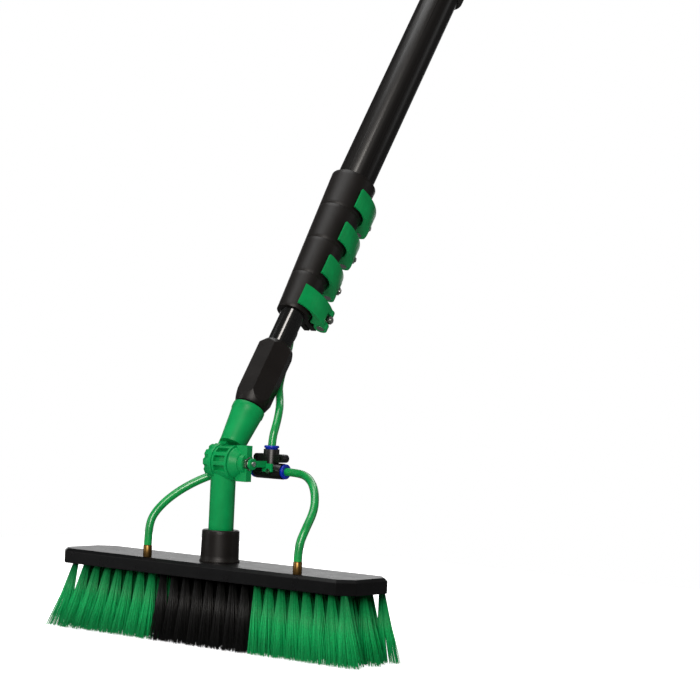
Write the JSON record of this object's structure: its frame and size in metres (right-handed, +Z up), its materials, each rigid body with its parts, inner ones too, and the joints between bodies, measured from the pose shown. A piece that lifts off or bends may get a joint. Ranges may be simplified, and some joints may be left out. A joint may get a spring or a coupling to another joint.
{
  "type": "water-fed window cleaning pole",
  "caption": "Telescoping water-fed window cleaning pole with lever clamps, a tilting wide brush and hoses that feed water jets in the brush.",
  "frame": {"origin": "middle of the hand grip, on the pole's axis", "axes": "+X along the brush, +Y the way the pole leans, +Z up; the pole rises 33 degrees from vertical towards +Y"},
  "size_m": [0.3855, 1.0941, 1.7366],
  "materials": {
    "pole_black": "satin black anodised tube",
    "black_plastic": "moulded black, fine satin texture",
    "green_plastic": "moulded emerald green, satin gloss",
    "block_black": "smooth black moulding with a soft shine",
    "steel": "plain bright steel",
    "brass": "turned brass, slightly dull",
    "collet_blue": "blue release ring",
    "bristle_green": "flagged synthetic filament",
    "bristle_black": "flagged synthetic filament",
    "hose_green": "smooth flexible hose, slightly translucent",
    "rubber_black": "soft black rubber",
    "strap_black": "woven hook-and-loop strap"
  },
  "bodies": {
    "base_section": {"base_tube": "pole_black", "clamp_collar_1": "black_plastic", "clamp_bolt_1": "steel", "lever_pin_1": "steel", "base_grip": "rubber_black", "end_cap": "black_plastic", "outlet_boot": "rubber_black", "coil_tie": "strap_black", "tail_hose": "hose_green", "tail_coil": "hose_green", "tail_end_hose": "hose_green", "hose_connector": "black_plastic"},
    "section_2": {"tube_2": "pole_black", "inner_plug_2": "black_plastic", "clamp_collar_2": "black_plastic", "clamp_bolt_2": "steel", "lever_pin_2": "steel"},
    "section_3": {"tube_3": "pole_black", "inner_plug_3": "black_plastic", "clamp_collar_3": "black_plastic", "clamp_bolt_3": "steel", "lever_pin_3": "steel"},
    "section_4": {"tube_4": "pole_black", "inner_plug_4": "black_plastic", "clamp_collar_4": "black_plastic", "clamp_bolt_4": "steel", "lever_pin_4": "steel"},
    "section_5": {"tube_5": "pole_black", "inner_plug_5": "black_plastic", "tip_sleeve": "black_plastic", "tip_spigot": "black_plastic", "upper_arm": "green_plastic", "hose_grommet": "rubber_black", "inner_hose": "hose_green"},
    "lever_1": {"clamp_lever_1": "green_plastic"},
    "lever_2": {"clamp_lever_2": "green_plastic"},
    "lever_3": {"clamp_lever_3": "green_plastic"},
    "lever_4": {"clamp_lever_4": "green_plastic"},
    "brush_head": {"lower_arm": "green_plastic", "joint_bolt": "steel", "arm_socket": "black_plastic", "brush_block": "block_black", "bristles_left": "bristle_green", "bristles_centre": "bristle_black", "bristles_right": "bristle_green", "hose_fitting_left": "brass", "hose_fitting_right": "brass", "tee_body": "black_plastic", "tee_bracket": "green_plastic", "tee_screw": "steel", "jet_hose_left": "hose_green", "jet_hose_right": "hose_green", "feed_hose": "hose_green"},
    "wing_nut": {"wing_nut": "green_plastic", "joint_nut": "steel"},
    "collet_left": {"release_collet_left": "collet_blue"},
    "collet_right": {"release_collet_right": "collet_blue"},
    "collet_top": {"release_collet_top": "collet_blue"}
  },
  "joints": [
    {"name": "section_2_slide", "type": "slide", "parent": "base_section", "child": "section_2", "axis": [0, -0.5446, -0.8387], "range_m": [0, 1.25]},
    {"name": "section_3_slide", "type": "slide", "parent": "section_2", "child": "section_3", "axis": [0, -0.5446, -0.8387], "range_m": [0, 1.25]},
    {"name": "section_4_slide", "type": "slide", "parent": "section_3", "child": "section_4", "axis": [0, -0.5446, -0.8387], "range_m": [0, 1.25]},
    {"name": "section_5_slide", "type": "slide", "parent": "section_4", "child": "section_5", "axis": [0, -0.5446, -0.8387], "range_m": [0, 1.25]},
    {"name": "lever_1_swing", "type": "hinge", "parent": "base_section", "child": "lever_1", "pos_m": [-0.00012, -0.20733, -0.3897], "axis": [0, 0.5446, 0.8387], "range_deg": [0, 120]},
    {"name": "lever_2_swing", "type": "hinge", "parent": "section_2", "child": "lever_2", "pos_m": [0.00062, -0.23158, -0.42403], "axis": [0, 0.5446, 0.8387], "range_deg": [0, 120]},
    {"name": "lever_3_swing", "type": "hinge", "parent": "section_3", "child": "lever_3", "pos_m": [0.00135, -0.25583, -0.45836], "axis": [0, 0.5446, 0.8387], "range_deg": [0, 120]},
    {"name": "lever_4_swing", "type": "hinge", "parent": "section_4", "child": "lever_4", "pos_m": [0.01445, -0.28278, -0.49094], "axis": [0, 0.5446, 0.8387], "range_deg": [0, 120]},
    {"name": "brush_tilt", "type": "hinge", "parent": "section_5", "child": "brush_head", "pos_m": [0, -0.41284, -0.63571], "axis": [1, 0, 0], "range_deg": [-63, 27], "deforming": ["feed_hose"]},
    {"name": "wing_nut_turn", "type": "hinge", "parent": "brush_head", "child": "wing_nut", "pos_m": [0.024, -0.41284, -0.63571], "axis": [1, 0, 0], "range_deg": [0, 360]},
    {"name": "collet_left_press", "type": "slide", "parent": "brush_head", "child": "collet_left", "axis": [1, 0, 0], "range_m": [0, 0.0012], "stiffness_N_per_m": 400, "springref_m": -0.0005},
    {"name": "collet_right_press", "type": "slide", "parent": "brush_head", "child": "collet_right", "axis": [-1, 0, 0], "range_m": [0, 0.0012], "stiffness_N_per_m": 400, "springref_m": -0.0005},
    {"name": "collet_top_press", "type": "slide", "parent": "brush_head", "child": "collet_top", "axis": [0, 0, -1], "range_m": [0, 0.0012], "stiffness_N_per_m": 400, "springref_m": -0.0005}
  ]
}
